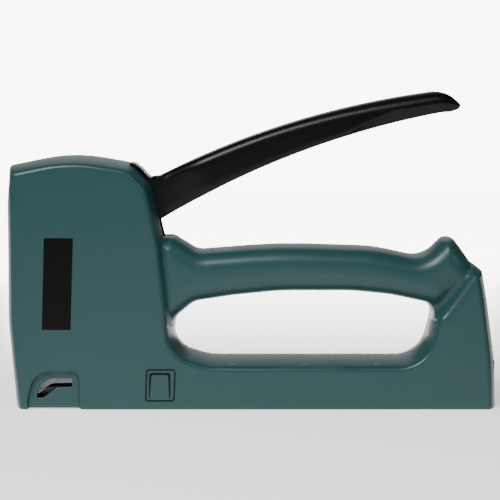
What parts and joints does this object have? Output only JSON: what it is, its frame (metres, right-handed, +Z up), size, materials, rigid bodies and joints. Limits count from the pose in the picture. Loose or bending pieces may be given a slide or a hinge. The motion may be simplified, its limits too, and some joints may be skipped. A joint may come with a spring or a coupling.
{
  "type": "staple gun",
  "caption": "Hand staple gun with a moulded two-shell body around a hand opening, a squeeze lever, a spring-driven hammer and a slide-out magazine.",
  "frame": {"origin": "middle of the base on the parting plane of the two shells, at the level the base stands on", "axes": "+X from the nose to the rear end, +Y across the tool towards the shell that takes the screws, +Z up"},
  "size_m": [0.1779, 0.033, 0.1145],
  "materials": {
    "body_plastic": "satin moulded plastic, blue-green",
    "lever_plastic": "satin black moulded plastic",
    "pressed_steel": "zinc-plated pressed steel",
    "screw_steel": "zinc-plated screws and pins",
    "spring_wire": "drawn spring wire",
    "bumper_rubber": "matt black rubber"
  },
  "bodies": {
    "body": {"left_shell": "body_plastic", "right_shell": "body_plastic", "shell_screw_1": "screw_steel", "shell_screw_2": "screw_steel", "shell_screw_3": "screw_steel", "shell_screw_4": "screw_steel", "shell_screw_5": "screw_steel", "shell_screw_6": "screw_steel", "lever_pivot_pin": "screw_steel", "pivot_spacer_left": "lever_plastic", "pivot_spacer_right": "lever_plastic", "lever_return_spring": "spring_wire", "main_spring": "spring_wire", "spring_guide": "lever_plastic", "bumper": "bumper_rubber", "nose_plate": "pressed_steel", "nose_cheek_left": "pressed_steel", "nose_cheek_right": "pressed_steel", "magazine_channel": "pressed_steel"},
    "lever": {"squeeze_lever": "lever_plastic", "lift_plate_left": "pressed_steel", "lift_plate_right": "pressed_steel", "drive_pin": "screw_steel"},
    "driver": {"hammer": "pressed_steel", "driver_blade": "pressed_steel"},
    "magazine": {"staple_rail": "pressed_steel", "pusher_rod": "screw_steel", "pusher_spring": "spring_wire", "magazine_knob": "lever_plastic", "latch_pin": "screw_steel", "latch_spring": "spring_wire"},
    "pusher": {"pusher": "lever_plastic"},
    "latch": {"magazine_latch": "lever_plastic"}
  },
  "joints": [
    {"name": "lever_squeeze", "type": "hinge", "parent": "body", "child": "lever", "pos_m": [-0.046, 0, 0.0685], "axis": [0, 1, 0], "range_deg": [0, 21.5], "stiffness_Nm_per_rad": 14, "springref_deg": -17.19, "deforming": ["lever_return_spring"]},
    {"name": "hammer_lift", "type": "slide", "parent": "body", "child": "driver", "axis": [0, 0, 1], "range_m": [0, 0.0122], "deforming": ["main_spring"]},
    {"name": "magazine_pull", "type": "slide", "parent": "body", "child": "magazine", "axis": [1, 0, 0], "range_m": [0, 0.11]},
    {"name": "pusher_travel", "type": "slide", "parent": "magazine", "child": "pusher", "axis": [1, 0, 0], "range_m": [0, 0.095], "stiffness_N_per_m": 25, "springref_m": -0.06, "deforming": ["pusher_spring"]},
    {"name": "latch_press", "type": "hinge", "parent": "magazine", "child": "latch", "pos_m": [0.0835, 0, 0.005], "axis": [0, -1, 0], "range_deg": [0, 8], "stiffness_Nm_per_rad": 0.05, "springref_deg": -11.46, "deforming": ["latch_spring"]}
  ],
  "couplings": [
    {"joint": "hammer_lift", "follows": "lever_squeeze", "m_per_rad": 0.0323}
  ]
}
